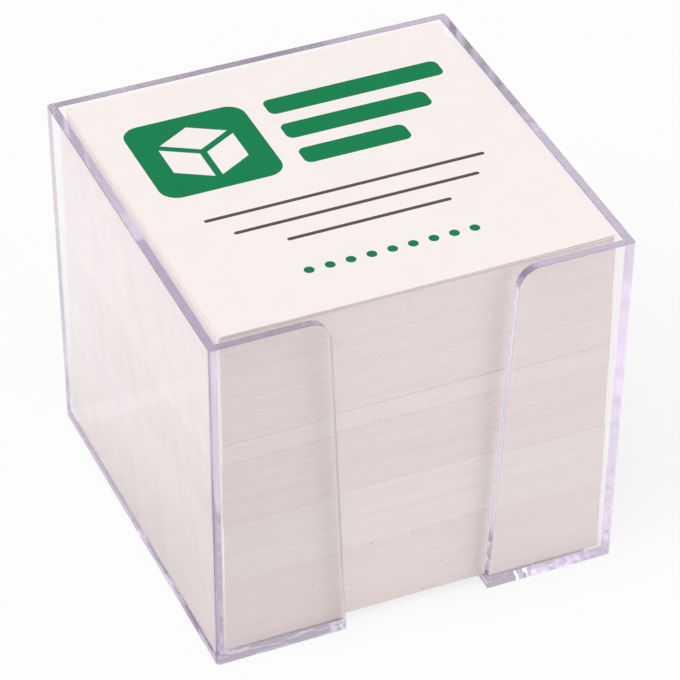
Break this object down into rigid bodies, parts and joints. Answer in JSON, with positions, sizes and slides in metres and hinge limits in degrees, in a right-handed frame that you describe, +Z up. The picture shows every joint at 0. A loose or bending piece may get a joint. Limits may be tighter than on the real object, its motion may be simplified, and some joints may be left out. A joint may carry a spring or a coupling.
{
  "type": "memo box",
  "caption": "Clear open-topped memo box with a finger slot in front and a notched floor, holding lifts of loose square note paper under a cover card.",
  "frame": {"origin": "centre of the box's underside, on the surface that it stands on", "axes": "+Z up through the open rim, -Y towards the front wall with the finger slot, +X to the right as seen from the front"},
  "size_m": [0.0916, 0.0916, 0.0825],
  "materials": {
    "clear_plastic": "polished",
    "note_paper": "matte",
    "cover_card": "satin"
  },
  "bodies": {
    "holder_box": {"holder_box": "clear_plastic"},
    "paper_lift_1": {"paper_lift_1": "note_paper"},
    "paper_lift_2": {"paper_lift_2": "note_paper"},
    "paper_lift_3": {"paper_lift_3": "note_paper"},
    "paper_lift_4": {"paper_lift_4": "note_paper"},
    "paper_lift_5": {"paper_lift_5": "note_paper"},
    "paper_lift_6": {"paper_lift_6": "note_paper"},
    "note_sheet_1": {"note_sheet_1": "note_paper"},
    "note_sheet_2": {"note_sheet_2": "note_paper"},
    "note_sheet_3": {"note_sheet_3": "note_paper"},
    "note_sheet_4": {"note_sheet_4": "note_paper"},
    "note_sheet_5": {"note_sheet_5": "note_paper"},
    "cover_card": {"cover_card": "cover_card"}
  },
  "joints": [
    {"name": "lift_1_out", "type": "slide", "parent": "holder_box", "child": "paper_lift_1", "axis": [0, 0, 1], "range_m": [0, 0.085]},
    {"name": "lift_2_out", "type": "slide", "parent": "paper_lift_1", "child": "paper_lift_2", "axis": [0, 0, 1], "range_m": [0, 0.066]},
    {"name": "lift_3_out", "type": "slide", "parent": "paper_lift_2", "child": "paper_lift_3", "axis": [0, 0, 1], "range_m": [0, 0.051]},
    {"name": "lift_4_out", "type": "slide", "parent": "paper_lift_3", "child": "paper_lift_4", "axis": [0, 0, 1], "range_m": [0, 0.035]},
    {"name": "lift_5_out", "type": "slide", "parent": "paper_lift_4", "child": "paper_lift_5", "axis": [0, 0, 1], "range_m": [0, 0.03]},
    {"name": "lift_6_out", "type": "slide", "parent": "paper_lift_5", "child": "paper_lift_6", "axis": [0, 0, 1], "range_m": [0, 0.02]},
    {"name": "sheet_1_off", "type": "slide", "parent": "paper_lift_6", "child": "note_sheet_1", "axis": [0, 0, 1], "range_m": [0, 0.01]},
    {"name": "sheet_2_off", "type": "slide", "parent": "note_sheet_1", "child": "note_sheet_2", "axis": [0, 0, 1], "range_m": [0, 0.01]},
    {"name": "sheet_3_off", "type": "slide", "parent": "note_sheet_2", "child": "note_sheet_3", "axis": [0, 0, 1], "range_m": [0, 0.01]},
    {"name": "sheet_4_off", "type": "slide", "parent": "note_sheet_3", "child": "note_sheet_4", "axis": [0, 0, 1], "range_m": [0, 0.01]},
    {"name": "sheet_5_off", "type": "slide", "parent": "note_sheet_4", "child": "note_sheet_5", "axis": [0, 0, 1], "range_m": [0, 0.01]},
    {"name": "card_off", "type": "slide", "parent": "note_sheet_5", "child": "cover_card", "axis": [0, 0, 1], "range_m": [0, 0.01]}
  ]
}
